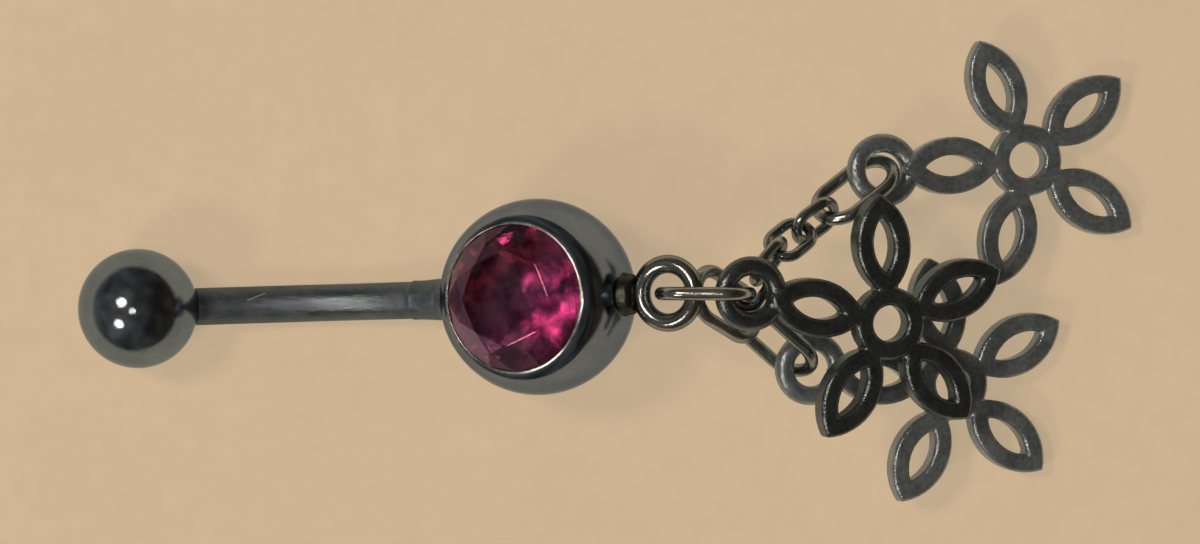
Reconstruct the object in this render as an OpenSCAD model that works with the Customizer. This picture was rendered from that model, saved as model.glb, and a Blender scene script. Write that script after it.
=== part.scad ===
/* [Curved bar] */
// Diameter of the bar, which is 14 gauge
bar_d = 1.6; // [1.2:0.1:2]
// Straight distance from the end ball to the gem cup
bar_length = 10.9; // [9:0.1:13]
// Radius that the bar is bent to
bend_r = 13.3; // [12.5:0.1:20]
// Length of the bar's straight end at the cup
straight_length = 0.6; // [0.4:0.1:1.2]
// Length of the collar where the bar is welded to the cup
collar_length = 1.7; // [1.2:0.1:2.2]
// Diameter of the collar at the cup
collar_d = 1.9; // [1.9:0.1:2.6]
// Step from the bar up to the collar, on the diameter
collar_step = 0.2; // [0.2:0.02:0.26]
// Turn of the bar on the surface, seen from above
bar_heading = 1.7; // [-20:0.1:20]

/* [End ball] */
// Diameter of the ball that screws onto the bar
ball_d = 5; // [4:0.25:6]
// Diameter of the flat on the ball that the bar's shoulder meets
ball_flat_d = 1.9; // [1.7:0.1:2.4]
// Diameter of the stud inside the ball
stud_d = 1.2; // [0.8:0.1:1.4]
// Length of the stud
stud_length = 2.4; // [1.5:0.1:3]
// Clearance round the stud, at the shoulder and past the stud's end
stud_gap = 0.05; // [0.02:0.01:0.08]

/* [Gem cup] */
// Diameter of the round cup
cup_d = 8.15; // [7.5:0.05:8.6]
// Diameter of the gem at its girdle
gem_d = 6.2; // [5.5:0.1:6.5]
// Wall of the bezel round the gem
bezel_wall = 0.2; // [0.15:0.05:0.3]
// Height of the bezel above the place where it leaves the ball
bezel_height = 0.15; // [0.1:0.05:0.5]
// Clearance between the gem and the metal
gem_gap = 0.05; // [0.03:0.01:0.1]

/* [Gem] */
// Number of sides of the gem's table
gem_sides = 8; // [8:1:12]
// Diameter of the table, across its corners
table_d = 3.9; // [3:0.1:4.4]
// Height of the crown above the girdle
crown_height = 0.85; // [0.6:0.05:1.2]
// Height of the girdle's band
girdle_height = 0.16; // [0.1:0.02:0.3]
// Depth of the pavilion below the girdle
pavilion_depth = 2.2; // [1.6:0.1:2.6]

/* [Eye of the cup] */
// Diameter of the eye's wire
eye_wire = 0.76; // [0.6:0.02:0.9]
// Diameter of the eye's hole
eye_hole = 1.64; // [1.4:0.02:2]
// Diameter of the stub that joins the eye to the cup
stub_d = 1.7; // [1.2:0.1:2]
// Length of the stub that shows between the cup and the eye
stub_length = 0.26; // [0.2:0.02:0.8]

/* [Rings and links] */
// Outer length of an oval jump ring
ring_length = 4.2; // [4:0.1:5]
// Outer width of an oval jump ring
ring_width = 2.7; // [2.6:0.1:3.2]
// Diameter of a jump ring's wire
ring_wire = 0.55; // [0.4:0.05:0.6]
// Outer length of a small chain link
link_length = 2.5; // [2.4:0.1:2.8]
// Outer width of a small chain link
link_width = 1.8; // [1.8:0.1:2.2]
// Diameter of a small link's wire
link_wire = 0.45; // [0.3:0.05:0.5]
// Slack where one link bears on the next
link_gap = 0.1; // [0.08:0.01:0.15]
// Height of the end of the upper chain above the surface
upper_height = 2.6; // [2.4:0.1:2.9]
// Height of the end of the lower chain above the surface
lower_height = 3.1; // [2.8:0.1:3.4]

/* [Charms] */
// Distance from the middle of a flower to a petal's tip
flower_r = 5.4; // [4.6:0.1:5.6]
// Number of petals
petals = 5; // [5:1:6]
// Greatest width of a petal
petal_width = 2.4; // [2.2:0.1:2.8]
// Width of the line that a charm is drawn in
line_width = 0.76; // [0.6:0.02:0.9]
// Thickness of a charm
charm_thick = 1; // [0.7:0.05:1.2]
// Size of the bevel along a charm's edges
charm_bevel = 0.12; // [0.1:0.02:0.25]
// Diameter of the round hole in the middle of a flower
hub_hole = 1.5; // [1.1:0.1:1.9]
// Diameter of the wire of a charm's loop
loop_wire = 0.8; // [0.6:0.05:0.9]
// Diameter of the hole in a charm's loop
loop_hole = 1.5; // [1.4:0.05:1.9]
// Height of the middle charm's far edge above the surface
pile_height = 3; // [3:0.1:3.5]

/* [Place] */
// Place of the cup's foot along the surface, from the middle of the part's outline
cup_x = -2.85; // [-20:0.01:20]
// Place of the cup's foot across the surface
cup_y = -1.1; // [-20:0.01:20]

/* [Hidden] */
$fn = 64;

cup_foot = [cup_x, cup_y, 0];

bar_r = bar_d / 2;
ball_r = ball_d / 2;
cup_r = cup_d / 2;
gem_r = gem_d / 2;
eye_r = (eye_hole + eye_wire) / 2;
loop_r = (loop_hole + loop_wire) / 2;

// The bend and the seat of the end ball, in the cup's own frame
ball_seat = sqrt(pow(ball_r, 2) - pow(ball_flat_d / 2, 2));
bend = 2 * asin((bar_length - straight_length) / (2 * bend_r));
ball_reach = ball_seat + stud_gap;
ball_x = -cup_r - straight_length - bend_r * sin(bend) - ball_reach * cos(bend);
ball_z = bend_r * (1 - cos(bend)) + ball_reach * sin(bend);

// The lean at which the ball and the cup both touch the surface
ball_span = norm([ball_x, ball_z]);
lean = 180 + asin((cup_r - ball_r) / ball_span) - atan2(ball_z, ball_x);

// Height of the cup's centre, which is raised where the bar would reach lower than the cup
bend_height = bend_r * cos(lean) - (cup_r + straight_length) * sin(lean);
cup_z = max(cup_r, bend_r + bar_r - bend_height);

// Depths along the gem's axis, from the cup's centre
bezel_r = gem_r + gem_gap + bezel_wall;
bezel_base = sqrt(pow(cup_r, 2) - pow(bezel_r, 2));
bezel_top = bezel_base + bezel_height;
girdle_top = bezel_top - bezel_wall;
girdle_bottom = girdle_top - girdle_height;

// The gem's kites are flat, so their side corners lie on slopes through the other two
table_r = table_d / 2;
star_share = 0.42;
low_share = 0.3;
star_r = table_r + star_share * (gem_r - table_r);
low_r = gem_r * low_share;
half_step = cos(180 / gem_sides);
crown_slope = crown_height / (gem_r - table_r);
pavilion_slope = pavilion_depth / gem_r;
star_z = girdle_top + crown_height - (star_r * half_step - table_r) * crown_slope;
low_z = girdle_bottom - pavilion_depth + low_r * half_step * pavilion_slope;
seat_dip = gem_gap + low_r * (1 - half_step) * pavilion_slope;

// The eye, in the cup's own frame
stub_end = cup_r + stub_length;
eye_x = stub_end + eye_r + eye_wire / 2;

// Sizes of a ring or link: length, width and wire
LENGTH = 0;
WIDTH = 1;
WIRE = 2;
ring = [ring_length, ring_width, ring_wire];
link = [link_length, link_width, link_wire];

// Each row of a strand is a size, a heading, a drop past the strand's own slope, and a roll
SIZE = 0;
HEADING = 1;
DROP = 2;
ROLL = 3;
upper_rows = [
    [link, 52.8, 7, 98],
    [link, 49.2, 5.5, -21.4],
    [link, 38.5, 8.8, 63.3],
    [link, 35.2, -1.6, -42.7],
    [ring, 38.3, -8, 41.7]
];
lower_rows = [
    [ring, -31.5, 10.8, 55],
    [ring, -41.6, -8.3, -35]
];

// How the main ring hangs. A seat is an angle round the end of the ring, and a slack.
ANGLE = 0;
SLACK = 1;
main_heading = -0.1;
main_drop = -8.6;
eye_seat = [183.6, 0.83];
upper_seat = [-47.6, 0.94];
lower_seat = [-90, 1.15];
middle_seat = [-9.5, 1.44];

// Headings of the charms, and how far along and across its loop each bears, as shares of the room
ALONG = 1;
ACROSS = 2;
middle_heading = -12;
upper_lie = [4.3, 0.59, 0.68];
lower_lie = [-6.6, -0.53, -0.16];

function aim(heading, drop) = [
    cos(drop) * cos(heading),
    cos(drop) * sin(heading),
    -sin(drop)
];
function tip_up(v, angle) = [
    v.x * cos(angle) - v.z * sin(angle),
    v.y,
    v.x * sin(angle) + v.z * cos(angle)
];
function turn(v, angle) = [
    v.x * cos(angle) - v.y * sin(angle),
    v.x * sin(angle) + v.y * cos(angle),
    v.z
];
function cup_point(v) = cup_foot + [0, 0, cup_z] + turn(tip_up(v, lean), bar_heading);

// The middle of the main ring's wire, at an angle round the nearer end
main_aim = aim(main_heading, main_drop);
main_up = aim(main_heading, main_drop - 90);
function main_wire(angle) =
    (end_radius(ring) * cos(angle) + sign(cos(angle)) * half_side(ring)) * main_aim
    + end_radius(ring) * sin(angle) * main_up;
function end_radius(size) = (size[WIDTH] - size[WIRE]) / 2;
function half_side(size) = (size[LENGTH] - size[WIDTH]) / 2;

// The main ring lies back in the eye's hole by a share of the room there
eye_room = eye_hole - ring_wire - 2 * link_gap;
eye_bearing = (ring_wire + eye_wire) / 2 + link_gap + eye_seat[SLACK] * eye_room;
main_at = cup_point([eye_x + eye_r - eye_bearing, 0, 0]) - main_wire(eye_seat[ANGLE]);
function seat_point(seat, wire, direction) = main_at + main_wire(seat[ANGLE])
    - seat_bearing(seat, wire) * direction;

// Walks along a strand from the middle of the wire at its first end
function row_aim(row) = aim(row[HEADING], row[DROP]);
function row_span(row) = row[SIZE][LENGTH] - row[SIZE][WIRE];
function bearing(a, b) = (a[SIZE][WIRE] + b[SIZE][WIRE]) / 2 + link_gap;
function unit(v) = v / norm(v);
function near_end(strand, start, i) = i == 0
    ? start
    : far_end(strand, start, i - 1)
        - bearing(strand[i - 1], strand[i]) * unit(row_aim(strand[i - 1]) + row_aim(strand[i]));
function far_end(strand, start, i) = near_end(strand, start, i)
    + row_span(strand[i]) * row_aim(strand[i]);
function strand_end(strand, start) = far_end(strand, start, len(strand) - 1);

// The length that a strand covers, and the drop that takes it down to a height
function sum(values, i = 0) = i < len(values) ? values[i] + sum(values, i + 1) : 0;
function seat_bearing(seat, wire) = seat[SLACK] * ((ring_wire + wire) / 2 + link_gap);
function net_length(rows, seat) = sum([for (row = rows) row_span(row)])
    - sum([for (i = [1:len(rows) - 1]) bearing(rows[i - 1], rows[i])])
    - seat_bearing(seat, rows[0][SIZE][WIRE]);
function sloped(rows, seat, height) = let (
    fall = main_at.z + main_wire(seat[ANGLE]).z - height,
    slope = asin(fall / net_length(rows, seat))
) [for (row = rows) [row[SIZE], row[HEADING], row[DROP] + slope, row[ROLL]]];

upper_strand = sloped(upper_rows, upper_seat, upper_height);
lower_strand = sloped(lower_rows, lower_seat, lower_height);
upper_start = seat_point(upper_seat, link_wire, row_aim(upper_strand[0]));
lower_start = seat_point(lower_seat, ring_wire, row_aim(lower_strand[0]));
upper_end = strand_end(upper_strand, upper_start);
lower_end = strand_end(lower_strand, lower_start);

// Sizes of a flower, along its axis from the middle of its loop
hub_r = (hub_hole + line_width) / 2;
flower_x = flower_r + loop_r - line_width / 2;
far_x = flower_x + flower_r * cos(180 / petals);
petal_chord = flower_r - hub_r;
petal_r = (pow(petal_chord / 2, 2) + pow(petal_width / 2, 2)) / petal_width;
petal_offset = petal_r - petal_width / 2;

// A charm rests on the surface by its far edge, and a ring's end lies in its loop
loop_room = loop_hole / 2 - ring_wire / 2 - link_gap;
function resting_drop(end, lie) = let (reach = far_x - lie[ALONG] * loop_room)
    asin(end.z / norm([reach, charm_thick / 2])) - atan2(charm_thick / 2, reach);
function loop_at(end, lie) = end
    - lie[ALONG] * loop_room * aim(lie[0], resting_drop(end, lie))
    - lie[ACROSS] * loop_room * aim(lie[0] + 90, 0);

// The middle charm leans down from the main ring over the others
middle_start_z = main_at.z + main_wire(middle_seat[ANGLE]).z;
middle_drop = asin((middle_start_z - pile_height) / (loop_r + far_x));
middle_aim = aim(middle_heading, middle_drop);
middle_at = seat_point(middle_seat, loop_wire, middle_aim) + loop_r * middle_aim;

// Sets its children in place, with their long axis along the heading and the drop
module place(at, heading, drop, roll = 0) {
    translate(at) rotate([0, drop, heading]) rotate([roll, 0, 0]) children();
}

// Sets its children in the frame of the cup: the eye is at +X, the bar at -X and the gem at +Z
module in_cup_frame() {
    translate(cup_foot + [0, 0, cup_z]) rotate([0, -lean, bar_heading]) children();
}

// A closed ring of round wire, drawn in the XZ plane with its length along X
module oval_ring(size) {
    end_r = (size[WIDTH] - size[WIRE]) / 2;
    side = size[LENGTH] - size[WIDTH];
    for (turned = [0, 180]) rotate([0, turned, 0]) {
        translate([side / 2, 0, 0]) rotate([90, 0, 0]) rotate([0, 0, -90])
            rotate_extrude(angle = 180) translate([end_r, 0]) circle(size[WIRE] / 2);
        translate([-side / 2, 0, end_r]) rotate([0, 90, 0]) cylinder(h = side, d = size[WIRE]);
    }
}

// The curved bar, from the stud to the weld
module bar() {
    root = 2;
    translate([-cup_r - collar_length, 0, 0]) rotate([0, 90, 0]) {
        cylinder(h = collar_length, d1 = bar_d + collar_step, d2 = collar_d);
        translate([0, 0, collar_length]) cylinder(h = cup_r / 2, d = collar_d);
    }
    translate([-cup_r - straight_length, 0, bend_r]) rotate([90, 0, 0]) rotate([0, 0, 270 - bend])
        rotate_extrude(angle = bend + root) translate([bend_r, 0]) circle(bar_r);
    translate([ball_x, 0, ball_z]) rotate([0, 90 + bend, 0])
        translate([0, 0, ball_reach - stud_length]) cylinder(h = stud_length + bar_r, d = stud_d);
}

// What is cut out for the gem, turned in one piece: a cone with a straight wall above it
module gem_pocket() {
    rotate_extrude() polygon([
        [0, 0],
        [gem_gap, 0],
        [gem_r + gem_gap, pavilion_depth],
        [gem_r + gem_gap, pavilion_depth + cup_r],
        [0, pavilion_depth + cup_r]
    ]);
}

// The cup: a ball cut off flat, with a bezel, a seat for the gem, a stub and an eye
module cup() {
    difference() {
        union() {
            intersection() {
                sphere(cup_r);
                translate([0, 0, bezel_base + bezel_height / 2 - cup_r]) cube(cup_d, center = true);
            }
            translate([0, 0, bezel_base - bezel_wall])
                cylinder(h = bezel_height + bezel_wall, r = bezel_r);
        }
        translate([0, 0, girdle_bottom - seat_dip - pavilion_depth]) gem_pocket();
    }
    translate([cup_r - stub_d / 2, 0, 0]) rotate([0, 90, 0])
        cylinder(h = stub_end + eye_wire / 2 - cup_r + stub_d / 2, d = stub_d);
    translate([eye_x, 0, 0]) rotate_extrude() translate([eye_r, 0]) circle(eye_wire / 2);
}

module barbell() {
    color("dimgray") in_cup_frame() {
        bar();
        cup();
    }
}

// The ball that screws onto the stud, with a flat where it meets the bar
module end_ball() {
    color("dimgray") in_cup_frame() translate([ball_x, 0, ball_z]) rotate([0, 90 + bend, 0])
        difference() {
            intersection() {
                sphere(ball_r);
                translate([0, 0, ball_seat - ball_r]) cube(ball_d, center = true);
            }
            translate([0, 0, ball_reach - stud_length - stud_gap])
                cylinder(h = ball_r, r = stud_d / 2 + stud_gap);
        }
}

// A ring of points of the gem, turned by half a step when shifted is 1
function gem_ring(count, r, z, shifted) = [
    for (i = [0:count - 1]) [
        r * cos((i + shifted / 2) * 360 / count),
        r * sin((i + shifted / 2) * 360 / count),
        z
    ]
];

// A round cut: table, stars, kites and girdle facets above, and kites and girdle facets below
module gem() {
    table_z = girdle_top + crown_height;
    culet_z = girdle_bottom - pavilion_depth;
    n = gem_sides;
    table = gem_ring(n, table_r, table_z, 0);
    stars = gem_ring(n, star_r, star_z, 1);
    top = gem_ring(2 * n, gem_r, girdle_top, 0);
    bottom = gem_ring(2 * n, gem_r, girdle_bottom, 0);
    low = gem_ring(n, low_r, low_z, 1);
    color("crimson") in_cup_frame() polyhedron(
        points = concat(table, stars, top, bottom, low, [[0, 0, culet_z]]),
        faces = concat(
            [[for (i = [0:n - 1]) n - 1 - i]],
            [for (i = [0:n - 1]) [i, (i + 1) % n, n + i]],
            [for (i = [0:n - 1]) [i, n + i, 2 * n + 2 * i, n + (i + n - 1) % n]],
            [for (i = [0:n - 1]) [n + i, 2 * n + 2 * i + 1, 2 * n + 2 * i]],
            [for (i = [0:n - 1]) [n + i, 2 * n + (2 * i + 2) % (2 * n), 2 * n + 2 * i + 1]],
            [for (j = [0:2 * n - 1]) let (k = (j + 1) % (2 * n))
                [2 * n + j, 2 * n + k, 4 * n + k, 4 * n + j]],
            [for (i = [0:n - 1]) [6 * n + i, 4 * n + 2 * i, 4 * n + 2 * i + 1]],
            [for (i = [0:n - 1]) [6 * n + i, 4 * n + 2 * i + 1, 4 * n + (2 * i + 2) % (2 * n)]],
            [for (i = [0:n - 1]) [7 * n, 6 * n + (i + n - 1) % n, 4 * n + 2 * i, 6 * n + i]]
        )
    );
}

// The bevelled outline of a charm's line, about the middle of the line
module line_section() {
    half_w = line_width / 2;
    half_t = charm_thick / 2;
    flat_w = half_w - charm_bevel;
    flat_t = half_t - charm_bevel;
    polygon([
        [-half_w, -flat_t], [-flat_w, -half_t], [flat_w, -half_t], [half_w, -flat_t],
        [half_w, flat_t], [flat_w, half_t], [-flat_w, half_t], [-half_w, flat_t]
    ]);
}

// One pierced petal along +X: two arcs that meet in a point at each end
module petal() {
    for (side = [-1, 1]) intersection() {
        translate([(hub_r + flower_r) / 2, -side * petal_offset, 0])
            rotate_extrude() translate([petal_r - line_width / 2, 0]) line_section();
        translate([0, side * petal_width / 2 - petal_width / 2, -charm_thick])
            cube([2 * flower_r, petal_width, 2 * charm_thick]);
    }
}

// A flower in open work with its loop, in the XY plane with the loop's middle at the origin
module charm() {
    translate([flower_x, 0, 0]) {
        rotate_extrude() translate([hub_r, 0]) line_section();
        for (i = [0:petals - 1]) rotate([0, 0, 180 + i * 360 / petals]) petal();
    }
    rotate_extrude() translate([loop_r, 0]) circle(loop_wire / 2);
}

module strand_piece(strand, start, i) {
    row = strand[i];
    middle = (near_end(strand, start, i) + far_end(strand, start, i)) / 2;
    color("gray") place(middle, row[HEADING], row[DROP], row[ROLL]) oval_ring(row[SIZE]);
}

module main_ring() {
    color("gray") place(main_at, main_heading, main_drop) oval_ring(ring);
}

module charm_middle() {
    color("dimgray") place(middle_at, middle_heading, middle_drop) charm();
}

module charm_upper() {
    color("dimgray") place(loop_at(upper_end, upper_lie), upper_lie[0], resting_drop(upper_end, upper_lie))
        charm();
}

module charm_lower() {
    color("dimgray") place(loop_at(lower_end, lower_lie), lower_lie[0], resting_drop(lower_end, lower_lie))
        charm();
}

barbell();
end_ball();
gem();
main_ring();  // jump_ring_main
strand_piece(upper_strand, upper_start, 0);  // chain_link_1
strand_piece(upper_strand, upper_start, 1);  // chain_link_2
strand_piece(upper_strand, upper_start, 2);  // chain_link_3
strand_piece(upper_strand, upper_start, 3);  // chain_link_4
strand_piece(upper_strand, upper_start, 4);  // jump_ring_upper
strand_piece(lower_strand, lower_start, 0);  // jump_ring_lower_1
strand_piece(lower_strand, lower_start, 1);  // jump_ring_lower_2
charm_middle();
charm_upper();
charm_lower();
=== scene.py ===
"""A navel ring with a gem cup and flower charms, lying on a pale surface and seen from above."""
import math

import bmesh
import bpy
import numpy as np
from mathutils import Matrix, Vector


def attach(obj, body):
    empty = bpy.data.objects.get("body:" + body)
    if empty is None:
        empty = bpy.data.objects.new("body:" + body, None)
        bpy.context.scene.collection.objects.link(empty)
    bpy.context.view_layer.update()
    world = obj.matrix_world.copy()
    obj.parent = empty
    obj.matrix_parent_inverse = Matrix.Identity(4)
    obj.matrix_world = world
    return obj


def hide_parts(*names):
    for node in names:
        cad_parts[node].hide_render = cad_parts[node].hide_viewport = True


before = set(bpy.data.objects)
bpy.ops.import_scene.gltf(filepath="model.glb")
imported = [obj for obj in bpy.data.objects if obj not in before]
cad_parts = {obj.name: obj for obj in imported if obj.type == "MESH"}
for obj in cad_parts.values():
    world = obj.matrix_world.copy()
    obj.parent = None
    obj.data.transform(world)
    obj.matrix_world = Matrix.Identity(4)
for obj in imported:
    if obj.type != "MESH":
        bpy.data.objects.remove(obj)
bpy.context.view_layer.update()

MM = 0.001

# Sizes in millimetres and degrees, the same as in the part's source
BAR_D = 1.6
BAR_LENGTH = 10.9
BAR_HEADING = 1.7
BEND_R = 13.3
STRAIGHT_LENGTH = 0.6
COLLAR_LENGTH = 1.7
COLLAR_D = 1.9
BALL_D = 5.0
BALL_FLAT_D = 1.9
STUD_D = 1.2
STUD_LENGTH = 2.4
STUD_GAP = 0.05
CUP_D = 8.15
CUP_FOOT = (-2.85, -1.1, 0.0)
GEM_D = 6.2
GEM_GAP = 0.05
GIRDLE_HEIGHT = 0.16
PAVILION_DEPTH = 2.2
BEZEL_WALL = 0.2
BEZEL_HEIGHT = 0.15
EYE_WIRE = 0.76
EYE_HOLE = 1.64
STUB_D = 1.7
STUB_LENGTH = 0.26

# Length, width and wire of a jump ring and of a chain link
RING = (4.2, 2.7, 0.55)
LINK = (2.5, 1.8, 0.45)
CHAIN_LINKS = 4

# What follows from the sizes
BAR_R = BAR_D / 2
BALL_R = BALL_D / 2
CUP_R = CUP_D / 2
GEM_R = GEM_D / 2
EYE_R = (EYE_HOLE + EYE_WIRE) / 2
EYE_X = CUP_R + STUB_LENGTH + EYE_R + EYE_WIRE / 2
BEND_X = -CUP_R - STRAIGHT_LENGTH
BEND = 2 * math.asin((BAR_LENGTH - STRAIGHT_LENGTH) / (2 * BEND_R))
BALL_SEAT = math.sqrt(BALL_R ** 2 - (BALL_FLAT_D / 2) ** 2)
BALL_REACH = BALL_SEAT + STUD_GAP
BALL_X = BEND_X - BEND_R * math.sin(BEND) - BALL_REACH * math.cos(BEND)
BALL_Z = BEND_R * (1 - math.cos(BEND)) + BALL_REACH * math.sin(BEND)
BEZEL_R = GEM_R + GEM_GAP + BEZEL_WALL
BEZEL_TOP = math.sqrt(CUP_R ** 2 - BEZEL_R ** 2) + BEZEL_HEIGHT
GIRDLE_TOP = BEZEL_TOP - BEZEL_WALL
GIRDLE_BOTTOM = GIRDLE_TOP - GIRDLE_HEIGHT

# The lean at which ball and cup both rest on the floor, and the cup's height, which the bend may raise
REST_ANGLE = math.asin((CUP_R - BALL_R) / math.hypot(BALL_X, BALL_Z))
LEAN = math.pi + REST_ANGLE - math.atan2(BALL_Z, BALL_X)
BEND_HEIGHT = BEND_R * math.cos(LEAN) + BEND_X * math.sin(LEAN)
CUP_Z = max(CUP_R, BEND_R + BAR_R - BEND_HEIGHT)

# The cup's own frame has the gem along +Z, the eye along +X and the bar along -X
CUP_FRAME = (
    Matrix.Translation(Vector(CUP_FOOT) + Vector((0, 0, CUP_Z)))
    @ Matrix.Rotation(math.radians(BAR_HEADING), 4, "Z")
    @ Matrix.Rotation(-LEAN, 4, "Y")
)
BALL_FRAME = (
    CUP_FRAME
    @ Matrix.Translation((BALL_X, 0, BALL_Z))
    @ Matrix.Rotation(math.pi / 2 + BEND, 4, "Y")
)

# How finely the round forms are divided
CUP_SIDES = 144
BALL_SIDES = 128
BAR_SIDES = 48
STUD_SIDES = 40
WIRE_SIDES = 28


# Node helpers

class Nodes:
    """A short way to add shader nodes and link them."""

    def __init__(self, tree):
        self.tree = tree
        tree.nodes.clear()

    def add(self, kind, props=None, **values):
        node = self.tree.nodes.new(kind)
        for key, value in (props or {}).items():
            setattr(node, key, value)
        for key, value in values.items():
            self.put(node, key, value)
        return node

    def put(self, node, key, value):
        """Sets or links one input, given by its name, or by its number as i0, i1 and so on."""
        numbered = key[0] == "i" and key[1:].isdigit()
        socket = node.inputs[int(key[1:]) if numbered else key.replace("_", " ")]
        if isinstance(value, bpy.types.NodeSocket):
            self.tree.links.new(value, socket)
        else:
            socket.default_value = value

    def ramp(self, fac, stops):
        """A colour from places between 0 and 1 and their colours."""
        node = self.add("ShaderNodeValToRGB", Fac=fac)
        elements = node.color_ramp.elements
        while len(elements) < len(stops):
            elements.new(0.5)
        for element, (place, colour) in zip(elements, stops):
            element.position = place
            element.color = (*colour, 1)
        return node.outputs["Color"]

    def math(self, operation, a, b=0.0, clamp=False):
        props = {"operation": operation, "use_clamp": clamp}
        return self.add("ShaderNodeMath", props, i0=a, i1=b).outputs[0]

    def vector(self, operation, a, **values):
        return self.add("ShaderNodeVectorMath", {"operation": operation}, i0=a, **values).outputs["Vector"]

    def mix(self, fac, a, b):
        """A colour from a to b."""
        return self.add("ShaderNodeMix", {"data_type": "RGBA"}, i0=fac, i6=a, i7=b).outputs[2]

    def split(self, vector):
        return self.add("ShaderNodeSeparateXYZ", Vector=vector).outputs

    def remap(self, value, source, target, easing="LINEAR"):
        """Takes a value from the range source to the range target, and stops at its ends."""
        node = self.add("ShaderNodeMapRange", {"interpolation_type": easing}, Value=value,
                        From_Min=source[0], From_Max=source[1], To_Min=target[0], To_Max=target[1])
        return node.outputs["Result"]

    def noise(self, vector, scale, detail=3.0, roughness=0.5):
        node = self.add("ShaderNodeTexNoise", Vector=vector, Scale=scale,
                        Detail=detail, Roughness=roughness)
        return node.outputs["Fac"]

    def coords(self, stretch=(1, 1, 1)):
        """Object coordinates in millimetres, times stretch."""
        scale = tuple(part / MM for part in stretch)
        place = self.add("ShaderNodeTexCoord").outputs["Object"]
        return self.add("ShaderNodeMapping", Vector=place, Scale=scale).outputs["Vector"]

    def tipped_normal(self, lean):
        """The surface's normal, tipped towards the direction lean."""
        plain = self.add("ShaderNodeNewGeometry").outputs["Normal"]
        return self.vector("NORMALIZE", self.vector("ADD", plain, i1=lean))


def new_material(name):
    """An empty material and its nodes."""
    material = bpy.data.materials.new(name)
    material.use_nodes = True
    return material, Nodes(material.node_tree)


# How far a bump of full height stands out, in metres
RELIEF = 0.1 * MM


# The metals

# Stretches the grain along X, as polishing does
LENGTHWISE = (0.14, 1, 1)
HAZE_ROUGHNESS = 0.35
SCRATCH_COLOUR = (0.36, 0.42, 0.47, 1)
SCRATCH_METALLIC_LOSS = 0.8
# Half the width of a scratch's core and of its whole, in millimetres
SCRATCH_CORE, SCRATCH_HALF = 0.012, 0.032


def scratch_mask(n, place, start, stop):
    """1 on a thin line between two points, seen from above, and 0 away from it."""
    (ax, ay), (bx, by) = start, stop
    length = math.hypot(bx - ax, by - ay)
    turn = math.atan2(by - ay, bx - ax)
    along = n.add("ShaderNodeMapping", {"vector_type": "TEXTURE"}, Vector=place,
                  Location=(ax, ay, 0), Rotation=(0, 0, turn))
    apart = n.split(along.outputs["Vector"])
    half = length / 2
    inside = n.add("ShaderNodeMath", {"operation": "COMPARE"}, i0=apart["X"], i1=half, i2=half)
    near = n.remap(n.math("ABSOLUTE", apart["Y"]), (SCRATCH_CORE, SCRATCH_HALF), (1.0, 0.0))
    return n.math("MULTIPLY", inside.outputs[0], near)


def metal(name, dark, light, rough, bump, spots=1.3, fine=14.0, lines=(1, 1, 1), metallic=1.0,
          edge=(0.50, 0.61, 0.72), haze=0.0, scratch=None, lean=None, dull=()):
    """Dark plated metal: mottled between two colours, with fine uneven polish.

    rough is its least and greatest roughness, spots and fine are the scales of its mottling and its
    grain, and lines stretches the grain. edge tints its grazing reflection, and haze is a faint second
    gloss from fine scratches. scratch is one light line from a point to a point, lean tips the polish
    towards a direction, and each dull is a place along X, a second one, and the roughness gained from
    the one to the other.
    """
    material, n = new_material(name)
    place = n.coords()
    mottle = n.noise(place, spots, detail=4.0, roughness=0.6)
    grain = n.noise(n.coords(lines), fine, detail=5.0, roughness=0.65)
    both = n.math("ADD", n.math("MULTIPLY", mottle, 0.5), n.math("MULTIPLY", grain, 0.5))
    colour = n.ramp(both, [(0.34, dark), (0.66, light)])
    roughness = n.remap(both, (0.35, 0.65), rough)
    for start, stop, gain in dull:
        gained = n.remap(n.split(place)["X"], (start, stop), (0.0, gain), "SMOOTHSTEP")
        roughness = n.math("ADD", roughness, gained)
    if scratch:
        line = scratch_mask(n, place, *scratch)
        colour = n.mix(line, colour, SCRATCH_COLOUR)
        metallic = n.math("SUBTRACT", metallic, n.math("MULTIPLY", line, SCRATCH_METALLIC_LOSS))
    relief = n.add("ShaderNodeBump", Strength=bump, Distance=RELIEF, Height=grain)
    if lean:
        n.put(relief, "Normal", n.tipped_normal(lean))
    shader = n.add("ShaderNodeBsdfPrincipled", Base_Color=colour, Metallic=metallic, Roughness=roughness,
                   Specular_Tint=(*edge, 1), Coat_Weight=haze, Coat_Roughness=HAZE_ROUGHNESS,
                   Normal=relief.outputs["Normal"])
    n.add("ShaderNodeOutputMaterial", Surface=shader.outputs[0])
    return material


bar_metal = metal(
    "bar_metal", dark=(0.085, 0.12, 0.155), light=(0.18, 0.225, 0.275), rough=(0.055, 0.15),
    bump=0.32, fine=7.0, lines=LENGTHWISE, metallic=0.62, lean=(-0.10, 0.0, 0.0),
    scratch=((-15.07, -1.26), (-14.33, -0.96)),
    dull=((-10.7, -13.6, 0.30), (-10.7, -8.6, 0.30)))
weld_metal = metal(
    "weld_metal", dark=(0.03, 0.037, 0.036), light=(0.11, 0.12, 0.10), rough=(0.26, 0.42),
    bump=0.3, spots=1.6, fine=5.0, edge=(0.2, 0.22, 0.2), haze=0.3)
cup_metal = metal(
    "cup_metal", dark=(0.153, 0.20, 0.272), light=(0.246, 0.312, 0.41), rough=(0.09, 0.16),
    bump=0.03, spots=0.6, edge=(0.52, 0.58, 0.68))
# Painted highlight: the lip gets a far lighter metal than the cup, so it shows as a bright line round the
# gem
lip_highlight_metal = metal(
    "lip_highlight_metal", dark=(0.16, 0.18, 0.20), light=(0.72, 0.76, 0.80), rough=(0.16, 0.30),
    bump=0.12, spots=0.5, fine=3.0)
ball_metal = metal(
    "ball_metal", dark=(0.12, 0.18, 0.245), light=(0.22, 0.30, 0.39), rough=(0.03, 0.08),
    bump=0.07, spots=0.7, fine=9.0, haze=0.6)
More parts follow.
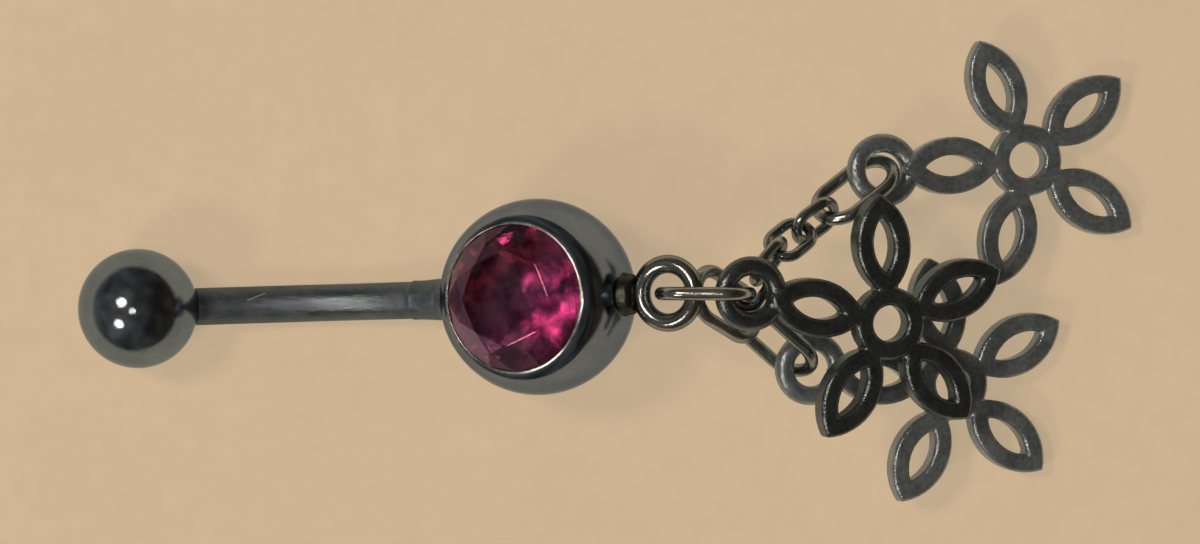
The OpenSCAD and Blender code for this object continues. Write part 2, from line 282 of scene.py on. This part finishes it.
eye_metal = metal(
    "eye_metal", dark=(0.15, 0.19, 0.21), light=(0.38, 0.42, 0.42), rough=(0.05, 0.13),
    bump=0.10, spots=0.8, edge=(0.15, 0.19, 0.20), haze=0.7)
ring_metal = metal(
    "ring_metal", dark=(0.20, 0.25, 0.27), light=(0.48, 0.53, 0.54), rough=(0.05, 0.14),
    bump=0.10, spots=0.8, edge=(0.20, 0.25, 0.27), haze=0.7)
charm_metal = metal(
    "charm_metal", dark=(0.14, 0.19, 0.235), light=(0.37, 0.45, 0.52), rough=(0.085, 0.25),
    bump=0.26, spots=1.1, fine=6.0, metallic=0.55, edge=(0.45, 0.54, 0.60), haze=0.6)
# Painted shade: the middle charm gets a much darker copy of the charm metal, for the darker reflections of
# its steeper tilt
painted_shade_charm_metal = metal(
    "painted_shade_charm_metal", dark=(0.05, 0.075, 0.09), light=(0.18, 0.225, 0.26), rough=(0.09, 0.20),
    bump=0.26, spots=1.1, fine=6.0, metallic=0.85, edge=(0.42, 0.50, 0.55), haze=0.5)


# Mesh helpers: points are in millimetres until they are placed

def add_object(name, data):
    thing = bpy.data.objects.new(name, data)
    bpy.context.scene.collection.objects.link(thing)
    return thing


def new_piece(name, points, faces, place=Matrix.Identity(4), materials=(), slots=None, sharp=None):
    """A mesh piece from points in the frame that place gives. slots is each face's material,
    and edges turned by more than sharp degrees stay sharp."""
    points = np.asarray(points, float)
    spot = np.array(place)
    world = (points @ spot[:3, :3].T + spot[:3, 3]) * MM
    mesh = bpy.data.meshes.new(name)
    mesh.from_pydata(world.tolist(), [], [list(face) for face in faces])
    for material in materials:
        mesh.materials.append(material)
    if slots is not None:
        mesh.polygons.foreach_set("material_index", slots)
    mesh.polygons.foreach_set("use_smooth", [True] * len(mesh.polygons))
    if sharp is not None:
        mesh.set_sharp_from_angle(angle=math.radians(sharp))
    mesh.validate()
    mesh.update()
    return add_object(name, mesh)


def revolve(profile, sides):
    """Turns a profile of (radius, z) about Z. A radius of 0 makes a pole."""
    turns = [2 * math.pi * i / sides for i in range(sides)]
    points, faces, rows = [], [], []
    for radius, z in profile:
        if radius == 0:
            rows.append([len(points)])
            points.append((0, 0, z))
        else:
            rows.append(range(len(points), len(points) + sides))
            points += [(radius * math.cos(a), radius * math.sin(a), z) for a in turns]
    for low, high in zip(rows, rows[1:]):
        for i in range(sides):
            j = (i + 1) % sides
            if len(low) == 1:
                faces.append((low[0], high[j], high[i]))
            elif len(high) == 1:
                faces.append((low[i], low[j], high[0]))
            else:
                faces.append((low[i], low[j], high[j], high[i]))
    return points, faces


def sweep(path, radii, sides, across, closed=False):
    """A round tube along a flat path. across is the path plane's normal."""
    path = np.asarray(path, float)
    across = np.asarray(across, float)
    count = len(path)
    if closed:
        along = np.roll(path, -1, 0) - np.roll(path, 1, 0)
    else:
        along = np.gradient(path, axis=0)
    along /= np.linalg.norm(along, axis=1)[:, None]
    out = np.cross(along, across)
    out /= np.linalg.norm(out, axis=1)[:, None]
    turns = np.linspace(0, 2 * math.pi, sides, endpoint=False)
    radii = np.broadcast_to(np.asarray(radii, float), (count,))
    circles = np.cos(turns)[:, None] * out[:, None] + np.sin(turns)[:, None] * across
    points = (path[:, None] + radii[:, None, None] * circles).reshape(-1, 3).tolist()
    faces = []
    for i in range(count if closed else count - 1):
        a, b = i * sides, (i + 1) % count * sides
        faces += [(a + j, a + (j + 1) % sides, b + (j + 1) % sides, b + j) for j in range(sides)]
    if not closed:
        faces.append(tuple(range(sides))[::-1])
        faces.append(tuple(range((count - 1) * sides, count * sides)))
    return points, faces


def rounded(points, times):
    """Cuts the corners of an open polyline a few times, and keeps its ends."""
    points = np.asarray(points, float)
    for _ in range(times):
        a, b = points[:-1], points[1:]
        cut = np.stack([0.75 * a + 0.25 * b, 0.25 * a + 0.75 * b], 1).reshape(-1, points.shape[1])
        points = np.concatenate([points[:1], cut, points[-1:]])
    return points


def joined(*parts):
    """Several (points, faces, slot) as one list of points, faces and slots."""
    points, faces, slots = [], [], []
    for part_points, part_faces, slot in parts:
        start = len(points)
        points += [tuple(point) for point in part_points]
        faces += [tuple(start + i for i in face) for face in part_faces]
        slots += list(np.broadcast_to(slot, len(part_faces)))
    return points, faces, slots


def smooth_step(x, low, high):
    """0 up to low and 1 from high on, with a soft rise between them."""
    t = np.clip((np.asarray(x, float) - low) / (high - low), 0, 1)
    return t * t * (3 - 2 * t)


def hump(x, middle, width):
    """A soft hump that is 1 high."""
    return np.exp(-((x - middle) / width) ** 2)


# The barbell: the bar, the cup with its bezel, the stub and the eye, welded into one piece

# The order of its materials
BAR_SLOT, CUP_SLOT, EYE_SLOT, LIP_SLOT, WELD_SLOT = range(5)


def bar_mesh():
    """The bent bar from its rounded end to inside the cup, with a collar that flares into the cup."""
    bend_sections = 210
    straight_sections = 44
    inside_cup = 1.2
    polished_off = 0.02
    end_round = 0.14
    end_steps = end_round * np.array([0, 0.04, 0.12, 0.25, 0.45, 0.7, 1.0])
    collar = -CUP_R - COLLAR_LENGTH
    # Soft steps of the radius: the gain, and from where to where
    steps = (
        (0.04, collar - 0.05, collar + 0.12),
        ((COLLAR_D - BAR_D) / 2 - 0.08, collar + 0.3, -CUP_R),
        (0.12, -CUP_R - 0.4, -CUP_R + 0.2),
    )
    # A bead at the collar's edge and a groove before the cup: the gain, where, and how wide
    humps = (
        (0.02, collar + 0.05, 0.1),
        (-0.02, -CUP_R - 0.33, 0.06),
    )
    # Where the even sections start, behind the rounded end and behind the bend
    after_end = BEND - 1.5 * end_round / BEND_R
    after_bend = BEND_X + 0.04
    turns = np.concatenate([BEND - end_steps / BEND_R, np.linspace(after_end, 0, bend_sections)])
    path = [(BEND_X - BEND_R * math.sin(t), 0, BEND_R * (1 - math.cos(t))) for t in turns]
    path += [(x, 0, 0) for x in np.linspace(after_bend, inside_cup - CUP_R, straight_sections)]
    path = np.array(path)
    x = path[:, 0]
    radii = np.full(len(path), BAR_R - polished_off)
    radii[:len(end_steps)] -= end_round - np.sqrt(end_round ** 2 - (end_round - end_steps) ** 2)
    for gain, low, high in steps:
        radii += gain * smooth_step(x, low, high)
    for gain, middle, width in humps:
        radii += gain * hump(x, middle, width)
    return sweep(path, radii, BAR_SIDES, (0, 1, 0))


def cup_mesh():
    """The cup, its shoulder rolling over evenly from the sphere to a lip that reaches over the gem."""
    sphere_rows = 60
    roll_rows = 14
    lip_bands = 3
    lip_over_gem = 0.06
    lip_rise = 0.08
    lip_turn = math.radians(15)
    seat_dip = 0.1
    lip_r = GEM_R - lip_over_gem
    lip_z = GIRDLE_TOP + lip_rise
    roll = (CUP_R ** 2 - lip_r ** 2 - lip_z ** 2) / 2
    roll /= CUP_R - lip_r * math.sin(lip_turn) - lip_z * math.cos(lip_turn)
    shoulder = math.atan2(lip_r - roll * math.sin(lip_turn), lip_z - roll * math.cos(lip_turn))
    turns = np.linspace(math.pi, shoulder, sphere_rows)
    sphere = [(0, -CUP_R)] + [(CUP_R * math.sin(t), CUP_R * math.cos(t)) for t in turns[1:]]
    centre_r = (CUP_R - roll) * math.sin(shoulder)
    centre_z = (CUP_R - roll) * math.cos(shoulder)
    turns = np.linspace(shoulder, lip_turn, roll_rows + 1)[1:]
    rolled = [(centre_r + roll * math.sin(t), centre_z + roll * math.cos(t)) for t in turns]
    top_r, top_z = rolled[-1]
    hole = GEM_R + GEM_GAP
    seat_z = GIRDLE_BOTTOM - seat_dip
    # The lip's thin edge turns back under to the wall of the hole
    lip = [(top_r - 0.012, top_z - 0.006), (top_r + 0.004, top_z - 0.022), (hole, top_z - 0.07)]
    seat = [(hole, GIRDLE_BOTTOM), (hole, seat_z), (0, seat_z - PAVILION_DEPTH)]
    points, faces = revolve(sphere + rolled + lip + seat, CUP_SIDES)
    bands = np.arange(len(faces)) // CUP_SIDES
    first = len(sphere) + len(rolled) - lip_bands
    on_lip = (bands >= first) & (bands < first + lip_bands)
    return points, faces, np.where(on_lip, LIP_SLOT, CUP_SLOT)


def stub_mesh():
    """The weld between cup and eye: a short round neck with a soft fillet at the cup."""
    sections = 24
    inside_cup = 0.5
    inside_eye = 0.16
    fillet = 0.12
    taper = 0.22
    end = CUP_R + STUB_LENGTH + inside_eye
    fillet_start, fillet_stop = CUP_R - 0.30, CUP_R + 0.10
    taper_start, taper_stop = end - 0.3, end + 0.1
    x = np.linspace(CUP_R - inside_cup, end, sections)
    radii = STUB_D / 2 + fillet * (1 - smooth_step(x, fillet_start, fillet_stop))
    radii -= taper * smooth_step(x, taper_start, taper_stop) ** 2
    return sweep([(along, 0, 0) for along in x], radii, STUD_SIDES, (0, 1, 0))


def eye_mesh():
    sections = 72
    turns = np.linspace(0, 2 * math.pi, sections, endpoint=False)
    path = [(EYE_X + EYE_R * math.cos(t), EYE_R * math.sin(t), 0) for t in turns]
    return sweep(path, EYE_WIRE / 2, WIRE_SIDES, (0, 0, 1), closed=True)


def stud_mesh():
    """The plain stud that the ball screws onto, which starts inside the bar."""
    radius = STUD_D / 2
    chamfer = 0.1
    tip = BALL_REACH - STUD_LENGTH
    root = BALL_REACH + BAR_R
    profile = [(0, tip), (radius - chamfer, tip), (radius, tip + chamfer), (radius, root), (0, root)]
    points, faces = revolve(profile, STUD_SIDES)
    local = CUP_FRAME.inverted() @ BALL_FRAME
    return [tuple(local @ Vector(point)) for point in points], faces


points, faces, slots = joined(
    (*bar_mesh(), BAR_SLOT), (*stud_mesh(), BAR_SLOT), cup_mesh(), (*stub_mesh(), WELD_SLOT),
    (*eye_mesh(), EYE_SLOT))
barbell = new_piece("welded_barbell", points, faces, CUP_FRAME,
                    (bar_metal, cup_metal, eye_metal, lip_highlight_metal, weld_metal), slots, sharp=50)
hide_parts("barbell")
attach(barbell, "ring")


# The end ball, with its flat and its bore towards the bar

def ball_mesh():
    sphere_rows = 72
    edge_turn = 0.02
    edge_width = 0.08
    chamfer = 0.05
    bore = STUD_D / 2 + STUD_GAP
    bottom = BALL_REACH - STUD_LENGTH - STUD_GAP
    flat_r = BALL_FLAT_D / 2
    turns = np.linspace(-math.pi / 2, math.atan2(BALL_SEAT, flat_r) - edge_turn, sphere_rows)
    sphere = [(0, -BALL_R)] + [(BALL_R * math.cos(t), BALL_R * math.sin(t)) for t in turns[1:]]
    edge = rounded([sphere[-1], (flat_r, BALL_SEAT), (flat_r - edge_width, BALL_SEAT)], 2)
    inside = [(bore + chamfer, BALL_SEAT), (bore, BALL_SEAT - chamfer), (bore, bottom), (0, bottom)]
    return revolve(sphere + [tuple(point) for point in edge[1:]] + inside, BALL_SIDES)


ball = new_piece("screw_ball", *ball_mesh(), BALL_FRAME, (ball_metal,), sharp=50)
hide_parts("end_ball")
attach(ball, "ball")


# Rings and links take their place from the CAD nodes

def node_points(node):
    """The corners of a CAD node's mesh, in millimetres."""
    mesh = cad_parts[node].data
    found = np.empty(len(mesh.vertices) * 3)
    mesh.vertices.foreach_get("co", found)
    return found.reshape(-1, 3) / MM


def oval_path(length, width):
    """An oval of two half circles and two straight lines, as points in its plane."""
    arc_points = 25
    side_points = 4
    end, side = width / 2, (length - width) / 2
    half = np.linspace(-math.pi / 2, math.pi / 2, arc_points)
    right = np.stack([side + end * np.cos(half), end * np.sin(half)], 1)
    straight = np.linspace(side, -side, side_points + 2)[1:-1]
    back = np.stack([straight, np.full(len(straight), end)], 1)
    return np.concatenate([right, back, -right, -back])


def oval_ring(node, size, material):
    """A round wire ring in the place of the CAD node, which is an oval of the same size.

    The node's long way, its short way and its middle come from the spread of its points.
    """
    passes = 3
    cloud = np.unique(np.round(node_points(node), 4), axis=0)
    middle = (cloud.min(0) + cloud.max(0)) / 2
    for _ in range(passes):
        spread = np.cov((cloud - middle).T)
        axes = np.linalg.eigh(spread)[1][:, ::-1]
        local = (cloud - middle) @ axes
        middle = middle + axes @ ((local.min(0) + local.max(0)) / 2)
    length, width, wire = size
    path = middle + oval_path(length - wire, width - wire) @ axes[:, :2].T
    points, faces = sweep(path, wire / 2, WIRE_SIDES, axes[:, 2], closed=True)
    piece = new_piece(node + "_wire", points, faces, materials=(material,))
    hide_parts(node)
    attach(piece, "ring")


for node in ("jump_ring_main", "jump_ring_upper", "jump_ring_lower_1", "jump_ring_lower_2"):
    oval_ring(node, RING, ring_metal)
for i in range(CHAIN_LINKS):
    oval_ring(f"chain_link_{i + 1}", LINK, ring_metal)


# The charms are cast, so their edges are a little soft

# The remeshing works on a larger copy, because it is made for greater sizes
CAST_SCALE = 100.0
CAST_GRID = 0.05
CAST_WELD = 0.002


def cast(node, material):
    """The CAD node's solid with softened edges, as plated castings have."""
    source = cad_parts[node].data.copy()
    source.transform(Matrix.Scale(CAST_SCALE, 4))
    worker = add_object("cast_work", source)
    welded = worker.modifiers.new("weld", "WELD")
    welded.merge_threshold = CAST_WELD * MM * CAST_SCALE
    remesh = worker.modifiers.new("remesh", "REMESH")
    remesh.mode = "VOXEL"
    remesh.voxel_size = CAST_GRID * MM * CAST_SCALE
    soft = worker.modifiers.new("soft", "SMOOTH")
    soft.factor = 0.5
    soft.iterations = 3
    bpy.context.view_layer.update()
    mesh = bpy.data.meshes.new_from_object(worker.evaluated_get(bpy.context.evaluated_depsgraph_get()))
    bpy.data.objects.remove(worker)
    mesh.transform(Matrix.Scale(1 / CAST_SCALE, 4))
    mesh.name = node + "_cast"
    mesh.materials.clear()
    mesh.materials.append(material)
    mesh.polygons.foreach_set("use_smooth", [True] * len(mesh.polygons))
    mesh.update()
    piece = add_object(node + "_cast", mesh)
    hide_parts(node)
    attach(piece, "ring")


cast("charm_upper", charm_metal)
cast("charm_lower", charm_metal)
cast("charm_middle", painted_shade_charm_metal)


# The gem: a glass crown over a foil-backed pavilion

# Tips the foil's reflections towards the light
FOIL_LEAN = (0.07, 0.015, 0.0)
# How fast the foil's tone turns from red to violet along X and Y, and how far it is at the origin
TONE_TURN = (0.10, -0.16, 0.0)
TONE_MIDDLE = 0.62
# Painted reflections in the crown: a lighter film on the facets that stand for the floor's reflection in
# them, each given as a facet's azimuth in degrees, how narrow the veil is, and its strength
PAINTED_REFLECTION_VEILS = ((225, 14, 0.5), (150, 5, 0.20), (270, 14, 0.10))
# How upright a facet is, from -1 to 1: more than the first for the table, more than the second for
# the crown, and less than the third for the pavilion
TABLE_RISE, CROWN_RISE, PAVILION_RISE = 0.97, 0.3, -0.1
# Facets that differ by less than this many degrees are one
FACET_ANGLE = 0.5
FACET_BEVEL = 0.03
GEM_WELD = 0.002


def glass_material():
    """Clear tinted glass with a faint milky film, and a lighter film on some crown facets as painted
    reflection.
    """
    material, n = new_material("gem_glass")
    place = n.coords()
    tint = n.ramp(n.noise(place, 0.6), [(0.3, (0.80, 0.42, 0.60)), (0.7, (0.95, 0.55, 0.80))])
    glass = n.add("ShaderNodeBsdfPrincipled", Base_Color=tint, Roughness=0.01, IOR=1.5,
                  Specular_Tint=(0.8, 0.35, 0.6, 1), Transmission_Weight=1.0)
    haze = n.add("ShaderNodeBsdfPrincipled", Base_Color=(0.29, 0.18, 0.36, 1), Roughness=0.3)
    # Painted reflection: the lighter film that some crown facets get
    painted_reflection_veil = n.add("ShaderNodeAttribute", {"attribute_name": "painted_reflection_veil"}).outputs["Fac"]
    clouds = n.noise(place, 0.9, detail=4.0, roughness=0.6)
    film = n.remap(clouds, (0.38, 0.66), (0.0, 0.14))
    covered = n.math("ADD", film, painted_reflection_veil, clamp=True)
    mixed = n.add("ShaderNodeMixShader", i0=covered, i1=glass.outputs[0], i2=haze.outputs[0])
    n.add("ShaderNodeOutputMaterial", Surface=mixed.outputs[0])
    return material


def foil_material():
    """Crinkled foil from red to violet, patchy, with painted shade in one corner that takes out a lamp's
    glint, and smoother at the left.
    """
    material, n = new_material("gem_foil")
    place = n.coords()
    apart = n.split(place)
    across = n.add("ShaderNodeVectorMath", {"operation": "DOT_PRODUCT"}, i0=place, i1=TONE_TURN)
    uneven = n.math("MULTIPLY", n.noise(place, 0.6, detail=2.0), 0.4)
    turn = n.math("ADD", n.math("ADD", across.outputs["Value"], TONE_MIDDLE), uneven)
    tone = n.ramp(turn, [(0.35, (0.46, 0.13, 0.20)), (0.95, (0.44, 0.19, 0.46))])
    # Painted shade: the foil is darker at the top left, to take out a lamp's glint there
    painted_shade_corner = n.math("MULTIPLY", n.remap(apart["X"], (-3.4, -2.6), (1.0, 0.0)),
                    n.remap(apart["Y"], (0.2, 0.9), (0.0, 0.8)))
    patches_and_shade = n.remap(n.noise(place, 1.3, detail=4.0, roughness=0.6), (0.36, 0.64), (0.55, 1.6))
    patches_and_shade = n.math("MULTIPLY", patches_and_shade, n.math("SUBTRACT", 1.0, painted_shade_corner))
    tone = n.vector("SCALE", tone, Scale=patches_and_shade)
    crinkled = n.remap(apart["X"], (-3.9, -2.4), (0.04, 1.0))
    crinkles = n.math("MULTIPLY", n.noise(place, 6.5, detail=5.0, roughness=0.72), crinkled)
    waves = n.math("MULTIPLY", n.noise(place, 1.1), 0.25)
    height = n.math("ADD", waves, n.math("MULTIPLY", crinkles, 0.42))
    relief = n.add("ShaderNodeBump", Strength=0.5, Distance=RELIEF, Height=height,
                   Normal=n.tipped_normal(FOIL_LEAN))
    shader = n.add("ShaderNodeBsdfPrincipled", Base_Color=tone, Roughness=0.03, Metallic=0.9,
                   Normal=relief.outputs["Normal"])
    n.add("ShaderNodeOutputMaterial", Surface=shader.outputs[0])
    return material


def towards(way, azimuth, power):
    """How far a facet faces an azimuth, from 0 to 1. The table faces none."""
    if way.z > TABLE_RISE:
        return 0.0
    return max(0.0, math.cos(math.atan2(way.y, way.x) - math.radians(azimuth))) ** power


def cut_gem():
    """The CAD gem with its coplanar triangles joined into facets, and the crown's edges a little soft."""
    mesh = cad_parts["gem"].data.copy()
    mesh.name = "cut_gem"
    mesh.materials.clear()
    mesh.materials.append(glass_material())
    mesh.materials.append(foil_material())
    upright = CUP_FRAME.to_3x3().inverted()
    work = bmesh.new()
    work.from_mesh(mesh)
    bmesh.ops.remove_doubles(work, verts=work.verts, dist=GEM_WELD * MM)
    bmesh.ops.dissolve_limit(work, angle_limit=math.radians(FACET_ANGLE), verts=work.verts, edges=work.edges)
    crown = [edge for edge in work.edges
             if all((upright @ face.normal).z > CROWN_RISE for face in edge.link_faces)]
    bmesh.ops.bevel(work, geom=crown, offset=FACET_BEVEL * MM, segments=2, profile=0.5, affect="EDGES")
    work.normal_update()
    ways = [upright @ face.normal for face in work.faces]
    work.to_mesh(mesh)
    work.free()
    # Painted reflection: how much lighter film each crown facet gets, by the way it faces
    painted_reflection_veils = [sum(strength * towards(way, azimuth, power) for azimuth, power, strength in PAINTED_REFLECTION_VEILS)
             for way in ways]
    mesh.attributes.new("painted_reflection_veil", "FLOAT", "FACE").data.foreach_set("value", painted_reflection_veils)
    mesh.polygons.foreach_set("use_smooth", [False] * len(ways))
    mesh.polygons.foreach_set("material_index", [int(way.z < PAVILION_RISE) for way in ways])
    mesh.update()
    return add_object("cut_gem", mesh)


gem = cut_gem()
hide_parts("gem")
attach(gem, "ring")


# The floor, which gives light of its own, as paper lit evenly from all around would

FLOOR_HALF = 600
FLOOR_GLOW = 1.22


def floor_material():
    material, n = new_material("floor_paper")
    place = n.coords()
    coarse = n.noise(place, 0.12)
    fine = n.noise(place, 0.9, detail=4.0, roughness=0.6)
    blotch = n.math("ADD", n.math("MULTIPLY", coarse, 0.5), n.math("MULTIPLY", fine, 0.5))
    tone = n.ramp(blotch, [(0.3, (0.348, 0.270, 0.180)), (0.7, (0.371, 0.290, 0.197))])
    shader = n.add("ShaderNodeBsdfPrincipled", Base_Color=tone, Roughness=0.9, Specular_IOR_Level=0.1,
                   Emission_Color=tone, Emission_Strength=FLOOR_GLOW)
    n.add("ShaderNodeOutputMaterial", Surface=shader.outputs[0])
    return material


corners = [(x * FLOOR_HALF, y * FLOOR_HALF, 0) for x, y in ((-1, -1), (1, -1), (1, 1), (-1, 1))]
floor = new_piece("floor", corners, [(0, 1, 2, 3)], materials=(floor_material(),))


# Three small round lamps

LAMP_DISTANCE = 350.0
WARM = (1.0, 0.80, 0.62)


def lamp(name, tilt, azimuth, spread, radiance):
    """A round lamp: tilt is from straight up, azimuth from +X, and spread half its width, in degrees."""
    light = bpy.data.lights.new(name, "AREA")
    light.shape = "DISK"
    radius = LAMP_DISTANCE * MM * math.tan(math.radians(spread))
    light.size = 2 * radius
    # A lamp's power is its radiance times pi times its area
    light.energy = radiance * math.pi * math.pi * radius ** 2
    light.color = WARM
    tilt, azimuth = math.radians(tilt), math.radians(azimuth)
    way = Vector((math.sin(tilt) * math.cos(azimuth), math.sin(tilt) * math.sin(azimuth), math.cos(tilt)))
    placed = add_object(name, light)
    placed.location = way * LAMP_DISTANCE * MM
    placed.rotation_euler = way.to_track_quat("Z", "Y").to_euler()


lamp("light_left", tilt=31, azimuth=158, spread=5.5, radiance=26)
lamp("light_front", tilt=44.6, azimuth=220, spread=5.0, radiance=24)
lamp("light_small", tilt=9.5, azimuth=210, spread=1.7, radiance=60)


# The room: uneven and dark, darker and warmer towards +X, with a pale strip low at that side

ROOM_TINTS = ((0.35, (0.022, 0.029, 0.020)), (0.50, (0.071, 0.067, 0.055)), (0.65, (0.150, 0.128, 0.122)))
ROOM_LIGHT = 1.5
# What is left of the light towards +X
FAR_SHADE = (0.44, 0.32, 0.25)
STRIP_HEIGHT = 0.025
STRIP_COLOUR = (0.85, 0.66, 0.46, 1)


def room_world():
    world = bpy.data.worlds.new("room")
    world.use_nodes = True
    n = Nodes(world.node_tree)
    direction = n.add("ShaderNodeTexCoord").outputs["Generated"]
    apart = n.split(direction)
    tint = n.ramp(n.noise(direction, 2.4, detail=4.0), ROOM_TINTS)
    side = n.remap(apart["X"], (-0.4, 0.75), (0.0, 1.0))
    shade = n.ramp(side, [(0.0, (1.0, 1.0, 1.0)), (1.0, FAR_SHADE)])
    tint = n.vector("SCALE", n.vector("MULTIPLY", tint, i1=shade), Scale=ROOM_LIGHT)
    from_strip = n.math("ABSOLUTE", n.math("SUBTRACT", apart["Z"], STRIP_HEIGHT))
    strip = n.math("MULTIPLY", n.remap(from_strip, (0.015, 0.035), (1.0, 0.0)),
                   n.remap(apart["X"], (-0.3, 0.3), (0.0, 1.0)))
    tint = n.mix(strip, tint, STRIP_COLOUR)
    background = n.add("ShaderNodeBackground", Color=tint, Strength=1.0)
    n.add("ShaderNodeOutputWorld", Surface=background.outputs[0])
    return world


bpy.context.scene.world = room_world()
bpy.context.scene.view_settings.view_transform = "Standard"


# The camera looks straight down, at the photograph's scale

PHOTO_WIDTH = 1200
PIXELS_PER_MM = 24.0
SENSOR_WIDTH = 36.0
CAMERA_PLACE = (-0.28, -0.07, 200.0)
# The height of the plane that has the photograph's scale
SCALE_HEIGHT = 3.0

camera_data = bpy.data.cameras.new("camera")
camera_data.sensor_fit = "HORIZONTAL"
camera_data.sensor_width = SENSOR_WIDTH
camera_data.lens = SENSOR_WIDTH * (CAMERA_PLACE[2] - SCALE_HEIGHT) / (PHOTO_WIDTH / PIXELS_PER_MM)
camera_data.clip_start = 0.01
camera = add_object("camera", camera_data)
camera.location = Vector(CAMERA_PLACE) * MM
bpy.context.scene.camera = camera
